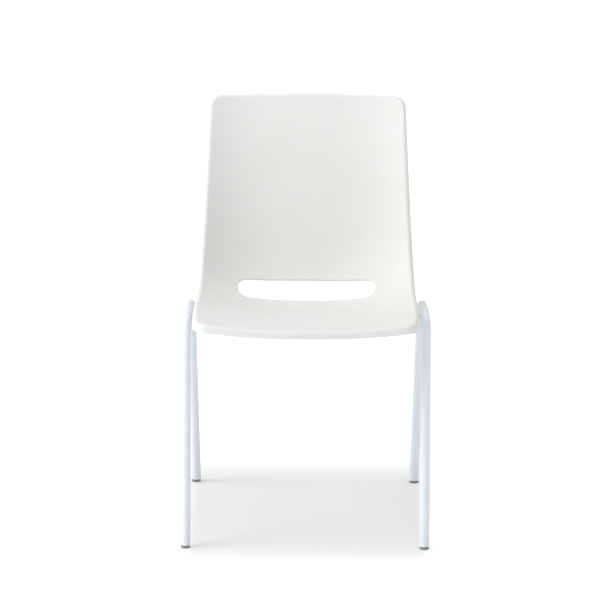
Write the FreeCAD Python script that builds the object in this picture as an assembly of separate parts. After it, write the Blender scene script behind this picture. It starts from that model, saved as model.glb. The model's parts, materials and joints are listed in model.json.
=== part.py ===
import FreeCAD, Part
import math
import os

# Stacking chair: a one-piece moulded shell screwed to a welded frame of bent round tube.
# Millimetres, +Z up, the sitter faces -Y. The origin is on the floor, below the chair's middle.
# Places are given as depth (behind the front feet, along Y) and height (above the floor).

# ---- driving dimensions: frame ---------------------------------------------------------------
FEET_WIDTH_FRONT = 480.6        # centre to centre of the front feet, on the floor
FEET_WIDTH_REAR = 452.6         # centre to centre of the rear feet, on the floor
FEET_DEPTH = 487.5              # front feet to rear feet
MIDDLE_DEPTH = 243.7            # middle of the whole chair behind the front feet
FRAME_LEAN = 0.0125             # how far a side frame leans outward per millimetre of height
TUBE_D = 20.0
TUBE_WALL = 2.0
BEND_R = 45.0                   # side frame bends, on the tube's centreline
RAIL_FRONT = (131.0, 440.0)     # where front leg and side rail would meet: depth, height
RAIL_REAR = (339.0, 423.0)      # where side rail and rear leg would meet
LEG_END = 6.0                   # height of a leg's cut end above the floor

CROSS_D = 16.0
CROSS_WALL = 1.5
CROSS_BEND_R = 30.0
CROSS_STRAIGHT = 204.0          # half length of a cross tube's straight middle
CROSS_FRONT = (169.0, 415.0)    # depth and height of the straight middle
CROSS_REAR = (297.0, 405.0)

# ---- driving dimensions: shell ---------------------------------------------------------------
SEAT_FRONT = (-2.0, 451.0)      # front end of the centreline: depth, height
SHELL_LENGTH = 781.0            # along the centreline, from the seat's front to the back's top
SHELL_T = 5.0
RIM_R = 7.0                     # outer rounding of the rim; the inner one keeps the wall even
CORNER_SEAT_R = 28.0
CORNER_BACK_R = 25.0
FRONT_BOW = 12.0                # how far the front edge bows forward at its middle
TOP_CROWN = 6.5                 # how far the top edge rises at its middle
SLOT_START = 340.0              # lower and upper edge of the slot, along the centreline
SLOT_END = 396.0
SLOT_HALF_LENGTH = 139.5
SLOT_CROWN = 9.0                # how far the slot's upper edge rises at its middle
SLOT_LOW_R = 26.0               # corners of the slot, at its lower and upper edge
SLOT_HIGH_R = 20.0
SLOT_EDGE_R = 1.8

# each table gives values at distances along the centreline from the seat's front
SLOPE = [(0, -1.0), (60, -4.4), (120, -6.3), (220, -6.9), (285, -3.5), (330, 12.0), (370, 36.5),
         (410, 56.5), (460, 70.5), (530, 78.5), (600, 79.5), (700, 75.5), (790, 71.5)]
HALF_WIDTH = [(-60, 219.5), (0, 221.5), (60, 223.5), (110, 225.0), (160, 225.3), (185, 225.0),
              (270, 222.6), (320, 221.2), (400, 219.4), (440, 217.8), (560, 211.4), (660, 206.3),
              (780, 201.0), (830, 198.9)]
# how far the side rims lean outward per millimetre of drop
RIM_FLARE = [(-60, 0.34), (185, 0.34), (300, 0.17), (400, 0.0), (830, 0.0)]
DISH = [(-60, 10.5), (0, 12.0), (60, 14.0), (160, 21.0), (250, 31.5), (330, 41.0), (400, 47.0),
        (470, 44.5), (600, 33.0), (700, 24.0), (780, 16.5), (830, 12.5)]
# how steeply the cross-section rises from the middle to the rim
DISH_POWER = [(-60, 2.4), (385, 2.4), (470, 3.1), (560, 3.4), (830, 3.2)]
RIM_DEPTH = [(-60, 16.6), (0, 16.8), (10, 17.1), (60, 18.5), (160, 16.0), (318, 12.0), (424, 11.0),
             (830, 11.0)]

# ---- driving dimensions: fixings, glides and buffers -----------------------------------------
BOSS_X = 110.0                  # sideways place of the four fixings
BOSS_D = 20.0
SCREW_OFFSET = 18.0             # from a cross tube's axis to its screws
PLATE_T = 3.0
PLATE_SIDE = 40.0
PLATE_SEAT = 1.0                # how deep a plate is seated on its cross tube
PLATE_CORNER_R = 6.0
SCREW_D = 5.9
SCREW_LENGTH = 14.0
SCREW_HEAD_D = 10.5
SCREW_HEAD_T = 3.3
SCREW_HEAD_EDGE_R = 2.0
SCREW_SOCKET = 4.0              # across flats
SCREW_SOCKET_DEPTH = 2.0
WASHER_D = 12.5
WASHER_T = 1.2
CLEARANCE_D = 6.6
INSERT_D = 8.5
INSERT_BORE = 6.0
INSERT_LENGTH = 8.0
INSERT_GROOVES = (2.8, 5.6)     # heights of the two grooves
INSERT_GROOVE_T = 1.0
INSERT_GROOVE_DEPTH = 0.5
RIB_T = 3.0
RIB_DROP = 11.0                 # lower edge of the ribs below the shell's upper surface

GLIDE_D = 19.0
GLIDE_EDGE_R = 1.6
PLUG_LENGTH = 28.0
PLUG_CORE_D = 13.0
PLUG_RING_D = 15.8
PLUG_RINGS = 3
PLUG_RING_T = 3.5

BUFFER_HEIGHT = 330.0           # height of the stacking buffers on the legs
BUFFER_LENGTH = 30.0
BUFFER_T = 2.0
BUFFER_WIDTH = 14.0
BUFFER_CORNER_R = 5.5
BUFFER_STEM_D = 5.0
BUFFER_STEM_LENGTH = 5.0

BLOCK_DEPTH = 60.0              # thickness of the working block that the shell is cut from
HOLLOW_DEPTH = 78.0             # of the block that hollows it; more, so their lower faces differ
WIDER = -60.0                   # inset of a working block that is wider than the shell
FAR = 600.0                     # beyond the chair on every side
TOUCHING = 0.02                 # edges closer than this lie on a face


def place(x, depth, height):
    return FreeCAD.Vector(x, depth - MIDDLE_DEPTH, height)


def smooth(table, distance):
    """Cubic curve through the (distance, value) points of a table."""
    last = len(table) - 1
    if distance <= table[0][0]:
        return table[0][1]
    if distance >= table[last][0]:
        return table[last][1]
    i = 0
    while table[i + 1][0] < distance:
        i += 1

    def slope(k):
        before = table[max(k - 1, 0)]
        after = table[min(k + 1, last)]
        return (after[1] - before[1]) / (after[0] - before[0])

    span = table[i + 1][0] - table[i][0]
    t = (distance - table[i][0]) / span
    start = table[i][1] * (2 * t ** 3 - 3 * t ** 2 + 1) + slope(i) * span * (t ** 3 - 2 * t ** 2 + t)
    end = table[i + 1][1] * (3 * t ** 2 - 2 * t ** 3) + slope(i + 1) * span * (t ** 3 - t ** 2)
    return start + end


# ---- the shell's centreline, worked out from its slope -----------------------------------------
CENTRELINE_STEP = 1.0
OVERRUN = 40.0                  # working length past each end of the shell


def run_centreline():
    """(depth, height) for each step along the centreline, from -OVERRUN to past its top."""
    def step_from(point, distance, step):
        angle = math.radians(smooth(SLOPE, distance + step / 2.0))
        return point[0] + step * math.cos(angle), point[1] + step * math.sin(angle)

    ahead = [SEAT_FRONT]
    steps = round((SHELL_LENGTH + OVERRUN) / CENTRELINE_STEP)
    for i in range(steps):
        ahead.append(step_from(ahead[-1], i * CENTRELINE_STEP, CENTRELINE_STEP))
    behind = [SEAT_FRONT]
    for i in range(round(OVERRUN / CENTRELINE_STEP)):
        behind.append(step_from(behind[-1], -i * CENTRELINE_STEP, -CENTRELINE_STEP))
    return behind[:0:-1] + ahead


CENTRELINE = run_centreline()


def centreline(distance):
    """Depth, height and slope angle of the centreline at a distance from the seat's front."""
    steps = (distance + OVERRUN) / CENTRELINE_STEP
    i = min(int(steps), len(CENTRELINE) - 2)
    share = steps - i
    low = CENTRELINE[i]
    high = CENTRELINE[i + 1]
    return (low[0] + share * (high[0] - low[0]), low[1] + share * (high[1] - low[1]),
            math.radians(smooth(SLOPE, distance)))


def off_centreline(distance, x, rise, along=0.0):
    """A point beside the centreline: x sideways, rise square to the surface, along it."""
    depth, height, angle = centreline(distance)
    return place(x, depth - rise * math.sin(angle) + along * math.cos(angle),
                 height + rise * math.cos(angle) + along * math.sin(angle))


def dish_rise(distance, x):
    share = abs(x / smooth(HALF_WIDTH, distance))
    return smooth(DISH, distance) * share ** smooth(DISH_POWER, distance)


# ---- blocks whose upper face is the shell's upper surface, moved down by drop -----------------
def section(distance, inset, drop, thickness):
    half = smooth(HALF_WIDTH, distance) - inset
    spans = 12
    points = []
    for i in range(spans + 1):
        x = half * (2.0 * i / spans - 1.0)
        points.append(off_centreline(distance, x, dish_rise(distance, x) - drop))
    top = Part.BSplineCurve()
    top.interpolate(points)
    low_half = half + smooth(RIM_FLARE, distance) * thickness
    left = off_centreline(distance, -low_half, -thickness)
    right = off_centreline(distance, low_half, -thickness)
    edges = [top.toShape(),
             Part.makeLine(points[-1], right),
             Part.makeLine(right, left),
             Part.makeLine(left, points[0])]
    return Part.Wire(edges)


def stations():
    """Distances of the block's sections, closest together where seat turns into back."""
    curve_start = 260.0
    curve_end = 480.0
    seat_spans = 6
    curve_spans = 11
    back_spans = 8
    places = [-OVERRUN + (curve_start + OVERRUN) * i / seat_spans for i in range(seat_spans)]
    places += [curve_start + (curve_end - curve_start) * i / curve_spans for i in range(curve_spans)]
    for i in range(back_spans + 1):
        places.append(curve_end + (SHELL_LENGTH + OVERRUN - curve_end) * i / back_spans)
    return places


def block(inset, drop, thickness):
    """drop is a number, or a table along the centreline."""
    wires = []
    for distance in stations():
        level = smooth(drop, distance) if isinstance(drop, list) else drop
        wires.append(section(distance, inset, level, thickness))
    return Part.makeLoft(wires, True, False)


def front_limit(inset):
    """Everything behind the bowed front edge."""
    reach = FAR / 2.0
    half = smooth(HALF_WIDTH, 0.0)
    middle = SEAT_FRONT[0] + inset
    side = middle + FRONT_BOW * (reach / half) ** 2
    arc = Part.Arc(place(-reach, side, 0), place(0, middle, 0), place(reach, side, 0)).toShape()
    corners = [place(reach, side, 0), place(reach, 2 * FAR, 0), place(-reach, 2 * FAR, 0),
               place(-reach, side, 0)]
    face = Part.Face(Part.Wire([arc] + Part.makePolygon(corners).Edges))
    return face.extrude(FreeCAD.Vector(0, 0, 2 * FAR))


def top_limit(inset):
    """Everything below the crowned top edge, cut square to the back."""
    reach = FAR / 2.0
    half = smooth(HALF_WIDTH, SHELL_LENGTH)
    fall = TOP_CROWN * (reach / half) ** 2

    def on_plane(x, along):
        return off_centreline(SHELL_LENGTH, x, -FAR, along - inset)

    arc = Part.Arc(on_plane(-reach, -fall), on_plane(0, 0), on_plane(reach, -fall)).toShape()
    corners = [on_plane(reach, -fall), on_plane(reach, -2 * FAR), on_plane(-reach, -2 * FAR),
               on_plane(-reach, -fall)]
    face = Part.Face(Part.Wire([arc] + Part.makePolygon(corners).Edges))
    normal = off_centreline(SHELL_LENGTH, 0, 1) - off_centreline(SHELL_LENGTH, 0, 0)
    return face.extrude(normal * (2 * FAR))


def is_corner(edge, low, high):
    """True for a short edge at the side of the block, within a range of heights."""
    middle = edge.BoundBox.Center
    longest = 2 * BLOCK_DEPTH
    return abs(middle.x) > FEET_WIDTH_FRONT / 4 and edge.Length < longest and low < middle.z < high


def rounded_block(inset, drop, thickness):
    solid = block(inset, drop, thickness)
    solid = solid.common(front_limit(inset)).common(top_limit(inset))
    seat_corners = [edge for edge in solid.Edges if is_corner(edge, 0.0, SEAT_FRONT[1])]
    solid = solid.makeFillet(CORNER_SEAT_R - inset, seat_corners)
    top_height = centreline(SHELL_LENGTH)[1]
    back_corners = [edge for edge in solid.Edges if is_corner(edge, top_height - BLOCK_DEPTH, 2 * FAR)]
    return solid.makeFillet(CORNER_BACK_R - inset, back_corners)


def round_rim(solid, radius):
    probe = Part.Vertex(off_centreline(SHELL_LENGTH / 4.0, 0, 0))
    upper = min(solid.Faces, key=lambda face: face.distToShape(probe)[0])
    return solid.makeFillet(radius, upper.OuterWire.Edges)


# ---- seat shell --------------------------------------------------------------------------------
def slot_cutter():
    distance = (SLOT_START + SLOT_END) / 2.0
    low = off_centreline(SLOT_START, 0, 0)
    high = off_centreline(SLOT_END, 0, 0)
    half_height = (high - low).Length / 2.0
    sagitta = ((low + high) / 2.0 - off_centreline(distance, 0, 0)).Length
    depth = 30.0

    def at(x, along):
        return off_centreline(distance, x, sagitta - depth, along)

    shoulder = half_height - SLOT_CROWN
    low_left = at(-SLOT_HALF_LENGTH, -half_height)
    low_right = at(SLOT_HALF_LENGTH, -half_height)
    high_left = at(-SLOT_HALF_LENGTH, shoulder)
    high_right = at(SLOT_HALF_LENGTH, shoulder)
    edges = [Part.makeLine(low_left, low_right),
             Part.makeLine(low_right, high_right),
             Part.Arc(high_right, at(0, half_height), high_left).toShape(),
             Part.makeLine(high_left, low_left)]
    through = off_centreline(distance, 0, 1) - off_centreline(distance, 0, 0)
    prism = Part.Face(Part.Wire(edges)).extrude(through * (4 * depth))
    for corners, radius in (((low_left, low_right), SLOT_LOW_R), ((high_left, high_right), SLOT_HIGH_R)):
        uprights = [edge for edge in prism.Edges if abs(edge.Length - 4 * depth) < TOUCHING
                    and min(edge.distToShape(Part.Vertex(corner))[0] for corner in corners) < TOUCHING]
        prism = prism.makeFillet(radius, uprights)
    return prism


def cut_slot(shell):
    """Cut the slot and round its edges on both surfaces."""
    cutter = slot_cutter()
    shell = shell.cut(cutter)
    across_wall = 1.4 * SHELL_T
    edges = [edge for edge in shell.Edges if edge.Length > across_wall
             and edge.distToShape(cutter)[0] < TOUCHING]
    return shell.makeFillet(SLOT_EDGE_R, edges)


def fixing_places():
    """Depth of the screws and height of the plates' upper faces, front pair and rear pair."""
    front = (CROSS_FRONT[0] + SCREW_OFFSET, CROSS_FRONT[1] + CROSS_D / 2 - PLATE_SEAT + PLATE_T)
    rear = (CROSS_REAR[0] - SCREW_OFFSET, CROSS_REAR[1] + CROSS_D / 2 - PLATE_SEAT + PLATE_T)
    return {"front": front, "rear": rear}


def upright_cylinder(diameter, height, x, depth, z):
    return Part.makeCylinder(diameter / 2.0, height, place(x, depth, z))


def bosses(outer):
    solids = []
    for depth, plate_top in fixing_places().values():
        for x in (-BOSS_X, BOSS_X):
            post = upright_cylinder(BOSS_D, BLOCK_DEPTH, x, depth, plate_top)
            solids.append(post.common(outer))
    return solids


def ribs(outer):
    """Low ribs that join the four bosses in a rectangle, on the shell's underside."""
    front = fixing_places()["front"][0]
    rear = fixing_places()["rear"][0]
    band = outer.cut(block(WIDER, RIB_DROP, 2 * BLOCK_DEPTH))
    solids = []
    for x in (-BOSS_X, BOSS_X):
        wall = Part.makeBox(RIB_T, rear - front, FAR, place(x - RIB_T / 2, front, 0))
        solids.append(wall.common(band))
    for depth in (front, rear):
        wall = Part.makeBox(2 * BOSS_X, RIB_T, FAR, place(-BOSS_X, depth - RIB_T / 2, 0))
        solids.append(wall.common(band))
    return solids


def seat_shell():
    outer = round_rim(rounded_block(0.0, 0.0, BLOCK_DEPTH), RIM_R)
    inner = round_rim(rounded_block(SHELL_T, SHELL_T, HOLLOW_DEPTH), RIM_R - SHELL_T)
    below_rim = block(WIDER, RIM_DEPTH, 2 * BLOCK_DEPTH)
    shell = cut_slot(outer.cut(inner).cut(below_rim))
    shell = shell.fuse(bosses(outer) + ribs(outer))
    for depth, plate_top in fixing_places().values():
        for x in (-BOSS_X, BOSS_X):
            shell = shell.cut(upright_cylinder(INSERT_D, INSERT_LENGTH, x, depth, plate_top))
    return shell.Solids[0]


# ---- bent tubes ---------------------------------------------------------------------------------
def bent_path(corners, radius):
    """Straight runs between the corners, joined by arcs of one radius."""
    edges = []
    start = corners[0]
    for before, corner, after in zip(corners, corners[1:], corners[2:]):
        back = (before - corner).normalize()
        forth = (after - corner).normalize()
        half_angle = back.getAngle(forth) / 2.0
        tangent = radius / math.tan(half_angle)
        arc_start = corner + back * tangent
        arc_end = corner + forth * tangent
        bisector = (back + forth).normalize()
        arc_middle = corner + bisector * (radius / math.sin(half_angle) - radius)
        edges.append(Part.makeLine(start, arc_start))
        edges.append(Part.Arc(arc_start, arc_middle, arc_end).toShape())
        start = arc_end
    edges.append(Part.makeLine(start, corners[-1]))
    return Part.Wire(edges)


def rod(corners, bend_radius, diameter):
    path = bent_path(corners, bend_radius)
    circle = Part.Circle(corners[0], corners[1] - corners[0], diameter / 2.0)
    return path.makePipeShell([Part.Wire(circle.toShape())], True, True)


def frame_x(depth, height):
    toe_in = (FEET_WIDTH_FRONT - FEET_WIDTH_REAR) / 2.0 / FEET_DEPTH
    return FEET_WIDTH_FRONT / 2.0 - toe_in * depth + FRAME_LEAN * height


def on_frame(side, depth, height):
    """A point in the plane of the left (-1) or right (+1) side frame."""
    return place(side * frame_x(depth, height), depth, height)


def leg_depth(end, height):
    """Depth of a leg's axis at a height."""
    if end == "front":
        return RAIL_FRONT[0] * height / RAIL_FRONT[1]
    return FEET_DEPTH + (RAIL_REAR[0] - FEET_DEPTH) * height / RAIL_REAR[1]


def leg_axis(side, end):
    """Unit vector up the leg."""
    foot = on_frame(side, leg_depth(end, 0.0), 0.0)
    return (on_frame(side, leg_depth(end, LEG_END), LEG_END) - foot).normalize()


def side_frame_corners(side):
    below = -2 * TUBE_D
    return [on_frame(side, leg_depth("front", below), below),
            on_frame(side, *RAIL_FRONT),
            on_frame(side, *RAIL_REAR),
            on_frame(side, leg_depth("rear", below), below)]


def above(height):
    return Part.makeBox(2 * FAR, 2 * FAR, 2 * FAR, FreeCAD.Vector(-FAR, -FAR, height))


def buffer_holes(side):
    holes = []
    for end in ("front", "rear"):
        solid = Part.makeCylinder(BUFFER_STEM_D / 2, TUBE_D)
        solid.Placement = buffer_placement(side, end)
        holes.append(solid)
    return holes


def side_frame(side):
    corners = side_frame_corners(side)
    tube = rod(corners, BEND_R, TUBE_D).cut(rod(corners, BEND_R, TUBE_D - 2 * TUBE_WALL))
    return tube.common(above(LEG_END)).cut(buffer_holes(side)).Solids[0]


def rail_height(depth):
    slope = (RAIL_REAR[1] - RAIL_FRONT[1]) / (RAIL_REAR[0] - RAIL_FRONT[0])
    return RAIL_FRONT[1] + slope * (depth - RAIL_FRONT[0])


def cross_tube_corners(depth, height):
    left = on_frame(-1, depth, rail_height(depth))
    right = on_frame(1, depth, rail_height(depth))
    return [left, place(-CROSS_STRAIGHT, depth, height), place(CROSS_STRAIGHT, depth, height), right]


def cross_tube(depth, height):
    """A bent tube, its ends coped to fit against the side rails."""
    corners = cross_tube_corners(depth, height)
    outer = rod(corners, CROSS_BEND_R, CROSS_D)
    bore = rod(corners, CROSS_BEND_R, CROSS_D - 2 * CROSS_WALL)
    rails = [rod(side_frame_corners(side), BEND_R, TUBE_D) for side in (-1, 1)]
    pieces = outer.cut(bore).cut(rails).Solids
    return max(pieces, key=lambda solid: solid.Volume)


# ---- plates and fasteners --------------------------------------------------------------------
def mounting_plate(x, tube_place, screw_depth, plate_top):
    """A square plate seated on a cross tube and reaching from it past the screw."""
    low = (tube_place[0] + screw_depth - PLATE_SIDE) / 2.0
    corner = place(x - PLATE_SIDE / 2.0, low, plate_top - PLATE_T)
    plate = Part.makeBox(PLATE_SIDE, PLATE_SIDE, PLATE_T, corner)
    upright = [edge for edge in plate.Edges if abs(edge.Length - PLATE_T) < TOUCHING]
    plate = plate.makeFillet(PLATE_CORNER_R, upright)
    tube = Part.makeCylinder(CROSS_D / 2, FAR, place(-FAR / 2, *tube_place), FreeCAD.Vector(1, 0, 0))
    hole = upright_cylinder(CLEARANCE_D, 2 * PLATE_T, x, screw_depth, plate_top - 1.5 * PLATE_T)
    return plate.cut(tube).cut(hole)


def insert(x, depth, plate_top):
    """Threaded insert with two knurl grooves."""
    body = upright_cylinder(INSERT_D, INSERT_LENGTH, x, depth, plate_top)
    floor_d = INSERT_D - 2 * INSERT_GROOVE_DEPTH
    for height in INSERT_GROOVES:
        z = plate_top + height
        ring = upright_cylinder(2 * INSERT_D, INSERT_GROOVE_T, x, depth, z)
        body = body.cut(ring.cut(upright_cylinder(floor_d, INSERT_GROOVE_T, x, depth, z)))
    return body.cut(upright_cylinder(INSERT_BORE, INSERT_LENGTH, x, depth, plate_top))


def washer(x, depth, plate_top):
    z = plate_top - PLATE_T - WASHER_T
    return upright_cylinder(WASHER_D, WASHER_T, x, depth, z).cut(
        upright_cylinder(CLEARANCE_D, WASHER_T, x, depth, z))


def screw(x, depth, plate_top):
    """Button-head screw with a hexagon socket, its head below the washer."""
    seat = plate_top - PLATE_T - WASHER_T
    head = upright_cylinder(SCREW_HEAD_D, SCREW_HEAD_T, x, depth, seat - SCREW_HEAD_T)
    rim = [edge for edge in head.Edges if abs(edge.BoundBox.Center.z - seat + SCREW_HEAD_T) < TOUCHING
           and isinstance(edge.Curve, Part.Circle)]
    head = head.makeFillet(SCREW_HEAD_EDGE_R, rim)
    corner_radius = SCREW_SOCKET / math.sqrt(3.0)
    corners = []
    for i in range(7):
        turn = math.radians(60 * i)
        corners.append(place(x + corner_radius * math.cos(turn), depth + corner_radius * math.sin(turn),
                             seat - SCREW_HEAD_T))
    socket = Part.Face(Part.makePolygon(corners)).extrude(FreeCAD.Vector(0, 0, SCREW_SOCKET_DEPTH))
    shank = upright_cylinder(SCREW_D, SCREW_LENGTH, x, depth, seat)
    return head.cut(socket).fuse(shank)


def per_fixing(make):
    """One solid at each of the four fixings, together in one shape."""
    solids = []
    for depth, plate_top in fixing_places().values():
        for x in (-BOSS_X, BOSS_X):
            solids.append(make(x, depth, plate_top).Solids[0])
    return Part.makeCompound(solids)


# ---- glides and buffers ------------------------------------------------------------------------
def foot_glide(side, end):
    """A glide whose ringed plug is pushed up into the leg."""
    axis = leg_axis(side, end)
    foot = on_frame(side, leg_depth(end, 0.0), 0.0)
    sole = Part.makeCylinder(GLIDE_D / 2, 4 * LEG_END, foot - axis * (2 * LEG_END), axis)
    sole = sole.common(above(0.0)).cut(above(LEG_END))
    lowest = [edge for edge in sole.Edges if edge.BoundBox.ZMax < TOUCHING]
    sole = sole.makeFillet(GLIDE_EDGE_R, lowest)
    leg_end = foot + axis * (LEG_END / axis.z)
    skew = TUBE_D * math.sqrt(1.0 - axis.z ** 2)
    core = Part.makeCylinder(PLUG_CORE_D / 2, PLUG_LENGTH + skew, leg_end - axis * skew, axis)
    plug = core.common(above(LEG_END))
    for i in range(PLUG_RINGS):
        base = leg_end + axis * (skew + i * PLUG_LENGTH / (PLUG_RINGS + 1))
        plug = plug.fuse(Part.makeCylinder(PLUG_RING_D / 2, PLUG_RING_T, base, axis))
    return sole.fuse(plug).removeSplitter().Solids[0]


def buffer_placement(side, end):
    """Origin on the leg's axis; local Z points backward in the frame's plane, local X up the leg."""
    axis = leg_axis(side, end)
    point = on_frame(side, leg_depth(end, BUFFER_HEIGHT), BUFFER_HEIGHT)
    behind = on_frame(side, 2 * FEET_DEPTH, BUFFER_HEIGHT) - point
    backward = (behind - axis * behind.dot(axis)).normalize()
    rotation = FreeCAD.Rotation(axis, backward.cross(axis), backward, "ZXY")
    return FreeCAD.Placement(point, rotation)


def stacking_buffer(side, end):
    """A low saddle on the back of a leg, held by a stem through the tube's wall."""
    along = FreeCAD.Vector(1, 0, 0)
    start = FreeCAD.Vector(-BUFFER_LENGTH / 2, 0, 0)
    outer = Part.makeCylinder(TUBE_D / 2 + BUFFER_T, BUFFER_LENGTH, start, along)
    window = Part.makeBox(BUFFER_LENGTH, BUFFER_WIDTH, TUBE_D,
                          FreeCAD.Vector(-BUFFER_LENGTH / 2, -BUFFER_WIDTH / 2, 0))
    pad = outer.common(window)
    corners = [edge for edge in pad.Edges if edge.BoundBox.XLength < TOUCHING
               and edge.BoundBox.YLength < TOUCHING]
    pad = pad.makeFillet(BUFFER_CORNER_R, corners)
    pad = pad.cut(Part.makeCylinder(TUBE_D / 2, 2 * BUFFER_LENGTH, start * 2, along))
    inner_end = TUBE_D / 2 - TUBE_WALL - BUFFER_STEM_LENGTH
    stem = Part.makeCylinder(BUFFER_STEM_D / 2, TUBE_D / 2 + BUFFER_T / 2 - inner_end,
                             FreeCAD.Vector(0, 0, inner_end))
    solid = pad.fuse(stem)
    solid.Placement = buffer_placement(side, end)
    return solid.Solids[0]


# ---- all the nodes -------------------------------------------------------------------------------
def build():
    nodes = {"seat_shell": seat_shell(),
             "front_cross_tube": cross_tube(*CROSS_FRONT),
             "rear_cross_tube": cross_tube(*CROSS_REAR),
             "shell_inserts": per_fixing(insert),
             "shell_washers": per_fixing(washer),
             "shell_screws": per_fixing(screw)}
    tube_places = {"front": CROSS_FRONT, "rear": CROSS_REAR}
    for side_name, side in (("left", -1), ("right", 1)):
        nodes[side_name + "_side_frame"] = side_frame(side)
        for end in ("front", "rear"):
            depth, plate_top = fixing_places()[end]
            name = end + "_" + side_name
            plate = mounting_plate(side * BOSS_X, tube_places[end], depth, plate_top)
            nodes[name + "_mounting_plate"] = plate
            nodes[name + "_foot_glide"] = foot_glide(side, end)
            nodes[name + "_stacking_buffer"] = stacking_buffer(side, end)
    return nodes


os.makedirs("parts", exist_ok=True)
for node_name, shape in build().items():
    shape.exportStep("parts/" + node_name + ".step")
    print(node_name, len(shape.Solids), "valid" if shape.isValid() else "INVALID", round(shape.Volume))
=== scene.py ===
import json
import math

import bmesh
import bpy
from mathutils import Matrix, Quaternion, Vector


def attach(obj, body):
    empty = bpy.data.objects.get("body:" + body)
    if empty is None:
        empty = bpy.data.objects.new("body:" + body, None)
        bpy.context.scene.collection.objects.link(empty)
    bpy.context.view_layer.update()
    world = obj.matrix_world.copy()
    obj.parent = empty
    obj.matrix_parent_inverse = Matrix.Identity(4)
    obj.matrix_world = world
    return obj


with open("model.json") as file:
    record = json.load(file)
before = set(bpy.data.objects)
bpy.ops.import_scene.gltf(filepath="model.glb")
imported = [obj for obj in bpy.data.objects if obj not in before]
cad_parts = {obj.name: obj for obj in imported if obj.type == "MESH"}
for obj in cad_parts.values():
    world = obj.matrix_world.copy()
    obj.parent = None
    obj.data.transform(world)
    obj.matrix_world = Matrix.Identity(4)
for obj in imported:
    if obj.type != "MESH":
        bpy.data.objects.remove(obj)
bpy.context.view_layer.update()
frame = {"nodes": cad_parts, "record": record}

# A white stacking chair: moulded plastic shell on a welded frame of powder-coated tube.
# Everything is in metres. The chair stands on z = 0 and its front faces -Y.

# ---- camera: far away with a long lens, looking down at the front ------------------------------
SENSOR = 0.036
FOCAL_LENGTH = 0.4211
CAMERA_AWAY = 13.793            # in front of the chair's middle
CAMERA_HEIGHT = 4.020
CAMERA_PITCH = 14.5             # degrees below level
CAMERA_ROLL = 0.35              # degrees
CAMERA_SIDE = -0.0128           # a little left of the chair's middle


def make_camera():
    data = bpy.data.cameras.new("camera")
    data.sensor_width = SENSOR * 1000
    data.lens = FOCAL_LENGTH * 1000
    data.clip_end = 100.0
    camera = bpy.data.objects.new("camera", data)
    bpy.context.scene.collection.objects.link(camera)
    camera.location = (CAMERA_SIDE, -CAMERA_AWAY, CAMERA_HEIGHT)
    camera.rotation_mode = "QUATERNION"
    pitch = math.radians(CAMERA_PITCH)
    forward = Vector((0.0, math.cos(pitch), -math.sin(pitch)))
    roll = Quaternion(forward, math.radians(-CAMERA_ROLL))
    camera.rotation_quaternion = roll @ forward.to_track_quat("-Z", "Y")
    bpy.context.scene.camera = camera


# ---- node helpers --------------------------------------------------------------------------------
class Maker:
    """A new material and short ways to add nodes to it."""

    def __init__(self, name):
        self.material = bpy.data.materials.new(name)
        self.material.use_nodes = True
        self.tree = self.material.node_tree
        self.shader = self.tree.nodes["Principled BSDF"]
        self.place = self.tree.nodes.new("ShaderNodeTexCoord").outputs["Object"]

    def set(self, **values):
        for name, value in values.items():
            self.shader.inputs[name.replace("_", " ")].default_value = value

    def link(self, source, target):
        self.tree.links.new(source, target)

    def noise(self, size, detail=2.0, rough=0.5):
        """Noise whose features are about size metres across."""
        node = self.tree.nodes.new("ShaderNodeTexNoise")
        node.inputs["Scale"].default_value = 1.0 / size
        node.inputs["Detail"].default_value = detail
        node.inputs["Roughness"].default_value = rough
        self.link(self.place, node.inputs["Vector"])
        return node.outputs["Fac"]

    def math(self, operation, first, second=0.0):
        node = self.tree.nodes.new("ShaderNodeMath")
        node.operation = operation
        for value, socket in ((first, node.inputs[0]), (second, node.inputs[1])):
            if isinstance(value, float):
                socket.default_value = value
            else:
                self.link(value, socket)
        return node.outputs[0]

    def spread(self, source, low, high, start=0.3, end=0.7, curve="LINEAR"):
        """Maps start..end of a source onto low..high."""
        node = self.tree.nodes.new("ShaderNodeMapRange")
        node.interpolation_type = curve
        node.inputs["From Min"].default_value = start
        node.inputs["From Max"].default_value = end
        node.inputs["To Min"].default_value = low
        node.inputs["To Max"].default_value = high
        self.link(source, node.inputs["Value"])
        return node.outputs["Result"]

    def mix(self, factor, first, second):
        node = self.tree.nodes.new("ShaderNodeMix")
        node.data_type = "RGBA"
        self.link(factor, node.inputs["Factor"])
        for colour, socket in ((first, node.inputs["A"]), (second, node.inputs["B"])):
            if isinstance(colour, tuple):
                socket.default_value = (*colour, 1.0)
            else:
                self.link(colour, socket)
        return node.outputs["Result"]

    def bump(self, height, depth, strength=1.0, under=None):
        node = self.tree.nodes.new("ShaderNodeBump")
        node.inputs["Distance"].default_value = depth
        node.inputs["Strength"].default_value = strength
        self.link(height, node.inputs["Height"])
        if under is not None:
            self.link(under, node.inputs["Normal"])
        return node.outputs["Normal"]

    def finish(self, colour=None, roughness=None, normal=None):
        if colour is not None:
            self.link(colour, self.shader.inputs["Base Color"])
        if roughness is not None:
            self.link(roughness, self.shader.inputs["Roughness"])
        if normal is not None:
            self.link(normal, self.shader.inputs["Normal"])
        return self.material


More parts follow.
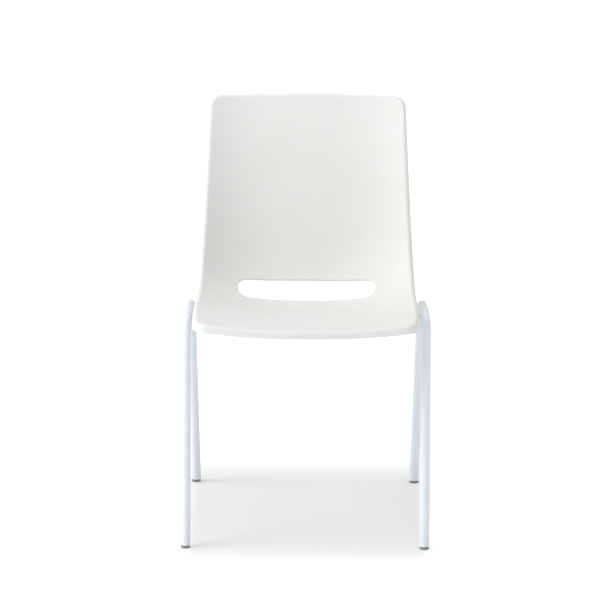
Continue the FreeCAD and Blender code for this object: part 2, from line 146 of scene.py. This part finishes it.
# ---- materials -----------------------------------------------------------------------------------
def shell_plastic():
    """White polypropylene with a fine moulded grain."""
    m = Maker("shell_plastic")
    m.set(IOR=1.49, Specular_IOR_Level=0.3)
    tone = m.spread(m.noise(0.12, 3.0), 0.0, 1.0)
    colour = m.mix(tone, (0.682, 0.683, 0.667), (0.700, 0.701, 0.686))
    rough = m.spread(m.noise(0.0015, 3.0), 0.40, 0.54)
    slow = m.bump(m.noise(0.03, 2.0), 0.0004, 0.15)
    grain = m.bump(m.noise(0.0007, 4.0, 0.6), 0.00012, 0.35, slow)
    return m.finish(colour, rough, grain)


def powder_coat():
    """White satin powder coat with a light orange peel."""
    m = Maker("powder_coat")
    m.set(IOR=1.5, Specular_IOR_Level=0.25)
    tone = m.spread(m.noise(0.05, 3.0), 0.0, 1.0)
    colour = m.mix(tone, (0.684, 0.731, 0.762), (0.704, 0.750, 0.778))
    rough = m.spread(m.noise(0.004, 2.0), 0.34, 0.42)
    peel = m.bump(m.noise(0.0028, 2.0, 0.4), 0.0001, 0.12)
    return m.finish(colour, rough, peel)


def glide_plastic():
    """Grey plastic, slightly scuffed."""
    m = Maker("glide_plastic")
    tone = m.spread(m.noise(0.006, 4.0), 0.0, 1.0)
    colour = m.mix(tone, (0.185, 0.195, 0.210), (0.225, 0.235, 0.250))
    rough = m.spread(m.noise(0.002, 3.0), 0.45, 0.65)
    grain = m.bump(m.noise(0.0006, 3.0), 0.0001, 0.4)
    return m.finish(colour, rough, grain)


def buffer_plastic():
    """Pale plastic close to the frame's colour."""
    m = Maker("buffer_plastic")
    tone = m.spread(m.noise(0.01, 3.0), 0.0, 1.0)
    colour = m.mix(tone, (0.68, 0.72, 0.75), (0.71, 0.75, 0.78))
    rough = m.spread(m.noise(0.002, 3.0), 0.45, 0.6)
    grain = m.bump(m.noise(0.0007, 3.0), 0.0001, 0.3)
    return m.finish(colour, rough, grain)


def zinc():
    """Bright zinc plating with a slight yellow and blue cast."""
    m = Maker("zinc")
    m.set(Metallic=1.0)
    tone = m.spread(m.noise(0.004, 3.0), 0.0, 1.0)
    colour = m.mix(tone, (0.60, 0.62, 0.66), (0.68, 0.67, 0.62))
    rough = m.spread(m.noise(0.001, 3.0), 0.22, 0.38)
    marks = m.bump(m.noise(0.0008, 3.0), 0.00005, 0.4)
    return m.finish(colour, rough, marks)


def brass():
    """Yellow brass with fine machining marks."""
    m = Maker("brass")
    m.set(Metallic=1.0)
    tone = m.spread(m.noise(0.003, 3.0), 0.0, 1.0)
    colour = m.mix(tone, (0.70, 0.53, 0.24), (0.76, 0.60, 0.32))
    rough = m.spread(m.noise(0.001, 3.0), 0.25, 0.4)
    marks = m.bump(m.noise(0.0006, 3.0), 0.00005, 0.4)
    return m.finish(colour, rough, marks)


def dress_nodes():
    makers = {"shell_white": shell_plastic, "frame_white": powder_coat, "glide_grey": glide_plastic,
              "buffer_white": buffer_plastic, "zinc_plated_steel": zinc, "brass": brass}
    made = {slot: make() for slot, make in makers.items()}
    for row in frame["record"]["subparts"]:
        node = frame["nodes"][row["node"]]
        node.data.materials.clear()
        node.data.materials.append(made[row["material_slot"]])
    return made


# ---- weld beads, which the CAD leaves out ------------------------------------------------------
# the frame's own sizes: depths are behind the front feet, heights above the floor
MIDDLE_DEPTH = 0.2437
HALF_FEET_FRONT = 0.2403
HALF_FEET_REAR = 0.2263
FEET_DEPTH = 0.4875
FRAME_LEAN = 0.0125
RAIL_FRONT = (0.131, 0.440)
RAIL_REAR = (0.339, 0.423)
RAIL_R = 0.010
CROSS_R = 0.008
CROSS_STRAIGHT = 0.204
CROSS_FRONT = (0.169, 0.415)
CROSS_REAR = (0.297, 0.405)
PLATE_X = 0.110
PLATE_SEAT = 0.001              # how deep a plate is seated on its cross tube

BEAD_R = 0.0018
BEAD_SIDES = 10
RIPPLE = 0.14                   # share of a bead's radius
RIPPLE_PITCH = 0.0021
TAPER_START = 0.25              # share of its radius that an open bead has at its ends
TAPER_RATE = 6.0
RAIL_BEAD_POINTS = 120
PLATE_BEAD_HALF = 0.014
PLATE_BEAD_POINTS = 56


def on_frame(side, depth, height):
    half = HALF_FEET_FRONT + (HALF_FEET_REAR - HALF_FEET_FRONT) * depth / FEET_DEPTH + FRAME_LEAN * height
    return Vector((side * half, depth - MIDDLE_DEPTH, height))


def bead(bm, points, closed):
    """A rippled bead along the points; an open one tapers at its ends."""
    rings = []
    across = None
    count = len(points)
    run = 0.0
    for i, point in enumerate(points):
        before = points[i - 1] if i or closed else point
        after = points[(i + 1) % count] if i + 1 < count or closed else point
        along = (after - before).normalized()
        if across is None:
            across = along.orthogonal().normalized()
        else:
            across = (across - along * across.dot(along)).normalized()
        other = along.cross(across)
        run += (point - points[i - 1]).length if i else 0.0
        radius = BEAD_R * (1.0 + RIPPLE * math.sin(2 * math.pi * run / RIPPLE_PITCH))
        if not closed:
            end_share = 1.0 - abs(2.0 * i / (count - 1) - 1.0)
            radius *= min(1.0, TAPER_START + math.sqrt(TAPER_RATE * end_share))
        ring = []
        for k in range(BEAD_SIDES):
            turn = 2 * math.pi * k / BEAD_SIDES
            ring.append(bm.verts.new(point + radius * (math.cos(turn) * across + math.sin(turn) * other)))
        rings.append(ring)
    spans = count if closed else count - 1
    for i in range(spans):
        low, high = rings[i], rings[(i + 1) % count]
        for k in range(BEAD_SIDES):
            n = (k + 1) % BEAD_SIDES
            bm.faces.new((low[k], low[n], high[n], high[k]))
    if not closed:
        bm.faces.new(reversed(rings[0]))
        bm.faces.new(rings[-1])


def piece(name, bm, material):
    bmesh.ops.recalc_face_normals(bm, faces=bm.faces)
    mesh = bpy.data.meshes.new(name)
    bm.to_mesh(mesh)
    bm.free()
    mesh.shade_smooth()
    mesh.materials.append(material)
    made = bpy.data.objects.new(name, mesh)
    bpy.context.scene.collection.objects.link(made)
    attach(made, "root")


def rail_weld(side, cross):
    """The line around a cross tube where it meets a side rail."""
    front = on_frame(side, *RAIL_FRONT)
    rail = (on_frame(side, *RAIL_REAR) - front).normalized()
    share = (cross[0] - RAIL_FRONT[0]) / (RAIL_REAR[0] - RAIL_FRONT[0])
    end = on_frame(side, cross[0], RAIL_FRONT[1] + share * (RAIL_REAR[1] - RAIL_FRONT[1]))
    corner = Vector((side * CROSS_STRAIGHT, cross[0] - MIDDLE_DEPTH, cross[1]))
    away = (corner - end).normalized()
    first = away.cross(rail).normalized()
    second = away.cross(first)
    points = []
    for i in range(RAIL_BEAD_POINTS):
        turn = 2 * math.pi * i / RAIL_BEAD_POINTS
        outward = math.cos(turn) * first + math.sin(turn) * second
        a = away.cross(rail)
        b = (CROSS_R * outward).cross(rail)
        half = a.dot(b) / a.dot(a)
        run = -half + math.sqrt(half ** 2 - (b.dot(b) - RAIL_R ** 2) / a.dot(a))
        points.append(end + away * run + (CROSS_R + BEAD_R / 4) * outward)
    return points


def plate_weld(side, cross, edge):
    """The line where a plate's underside meets one side of its cross tube."""
    low = CROSS_R - PLATE_SEAT
    away = math.sqrt(CROSS_R ** 2 - low ** 2) + BEAD_R / 2
    place = Vector((side * PLATE_X, cross[0] - MIDDLE_DEPTH + edge * away, cross[1] + low - BEAD_R / 3))
    points = []
    for i in range(PLATE_BEAD_POINTS):
        x = PLATE_BEAD_HALF * (2.0 * i / (PLATE_BEAD_POINTS - 1) - 1.0)
        points.append(place + Vector((x, 0.0, 0.0)))
    return points


def make_welds(material):
    rails = bmesh.new()
    plates = bmesh.new()
    for cross in (CROSS_FRONT, CROSS_REAR):
        for side in (-1, 1):
            bead(rails, rail_weld(side, cross), True)
            for edge in (-1, 1):
                bead(plates, plate_weld(side, cross, edge), False)
    piece("rail_weld_beads", rails, material)
    piece("plate_weld_beads", plates, material)


# ---- stage ---------------------------------------------------------------------------------------
FLOOR_HALF = 60.0
FLOOR_WHITE = 0.45
FLOOR_GLOW_NEAR = 0.71          # lifts the floor to a clear white, as in a white studio
FLOOR_GLOW_FAR = 0.86
GLOW_RADII = (0.5, 3.0)         # between these the near glow turns into the far glow
SKY = 0.69                      # strength of the even light from all round
PAINTED_SHADOW_MIDDLE = (0.004, 0.020)   # painted shadow: a soft grey patch on the floor below the chair
PAINTED_SHADOW_HALF = (0.2485, 0.368)
PAINTED_SHADOW_EDGE = (0.027, 0.137)     # half widths of the painted shadow's soft edges
PAINTED_SHADOW_GLOW = 0.345              # the floor's glow inside the painted shadow, lower than outside it
# name, place, the point it faces, diameter, watts
SOFT_BOXES = (("overhead", (-0.10, -0.25, 4.0), (0.0, 0.0, 0.4), 6.5, 48.0),
              ("left", (-4.9, -1.3, 3.6), (0.0, 0.0, 0.5), 3.8, 220.0))


def painted_shadow_mask(m):
    """1 inside the painted shadow below the chair, 0 outside, with soft edges."""
    parts = m.tree.nodes.new("ShaderNodeSeparateXYZ")
    m.link(m.place, parts.inputs[0])
    masks = []
    for axis, middle, half, edge in zip("XY", PAINTED_SHADOW_MIDDLE, PAINTED_SHADOW_HALF, PAINTED_SHADOW_EDGE):
        away = m.math("ABSOLUTE", m.math("SUBTRACT", parts.outputs[axis], middle))
        masks.append(m.spread(away, 1.0, 0.0, half - edge, half + edge, "SMOOTHSTEP"))
    return m.math("MULTIPLY", *masks)


def make_floor():
    mesh = bpy.data.meshes.new("floor")
    corners = [(x * FLOOR_HALF, y * FLOOR_HALF, 0) for x, y in ((-1, -1), (1, -1), (1, 1), (-1, 1))]
    mesh.from_pydata(corners, [], [(0, 1, 2, 3)])
    floor = bpy.data.objects.new("floor", mesh)
    bpy.context.scene.collection.objects.link(floor)
    m = Maker("floor_white")
    m.set(Roughness=0.9, Base_Color=(FLOOR_WHITE, FLOOR_WHITE, FLOOR_WHITE, 1.0),
          Specular_IOR_Level=0.0, Emission_Color=(1.0, 1.0, 1.0, 1.0))
    painted_shadow = painted_shadow_mask(m)
    distance = m.tree.nodes.new("ShaderNodeVectorMath")
    distance.operation = "LENGTH"
    m.link(m.place, distance.inputs[0])
    glow = m.spread(distance.outputs["Value"], FLOOR_GLOW_NEAR, FLOOR_GLOW_FAR, *GLOW_RADII)
    # painted shadow: the floor's glow is lowered inside the patch below the chair so it reads as the
    # chair's shadow
    painted_shadow_dimming = m.math("MULTIPLY", painted_shadow, FLOOR_GLOW_NEAR - PAINTED_SHADOW_GLOW)
    m.link(m.math("SUBTRACT", glow, painted_shadow_dimming), m.shader.inputs["Emission Strength"])
    mesh.materials.append(m.finish())


def soft_box(name, place, target, size, power):
    data = bpy.data.lights.new(name, "AREA")
    data.shape = "DISK"
    data.size = size
    data.energy = power
    light = bpy.data.objects.new(name, data)
    bpy.context.scene.collection.objects.link(light)
    light.location = place
    light.rotation_mode = "QUATERNION"
    light.rotation_quaternion = (Vector(target) - Vector(place)).to_track_quat("-Z", "Y")
    light.visible_camera = False


def make_lights():
    world = bpy.data.worlds.new("studio")
    world.use_nodes = True
    background = world.node_tree.nodes["Background"]
    background.inputs["Color"].default_value = (1.0, 1.0, 1.0, 1.0)
    background.inputs["Strength"].default_value = SKY
    bpy.context.scene.world = world
    for box in SOFT_BOXES:
        soft_box(*box)
    bpy.context.scene.view_settings.view_transform = "Standard"


def main():
    make_camera()
    make_floor()
    materials = dress_nodes()
    make_welds(materials["frame_white"])
    make_lights()


main()
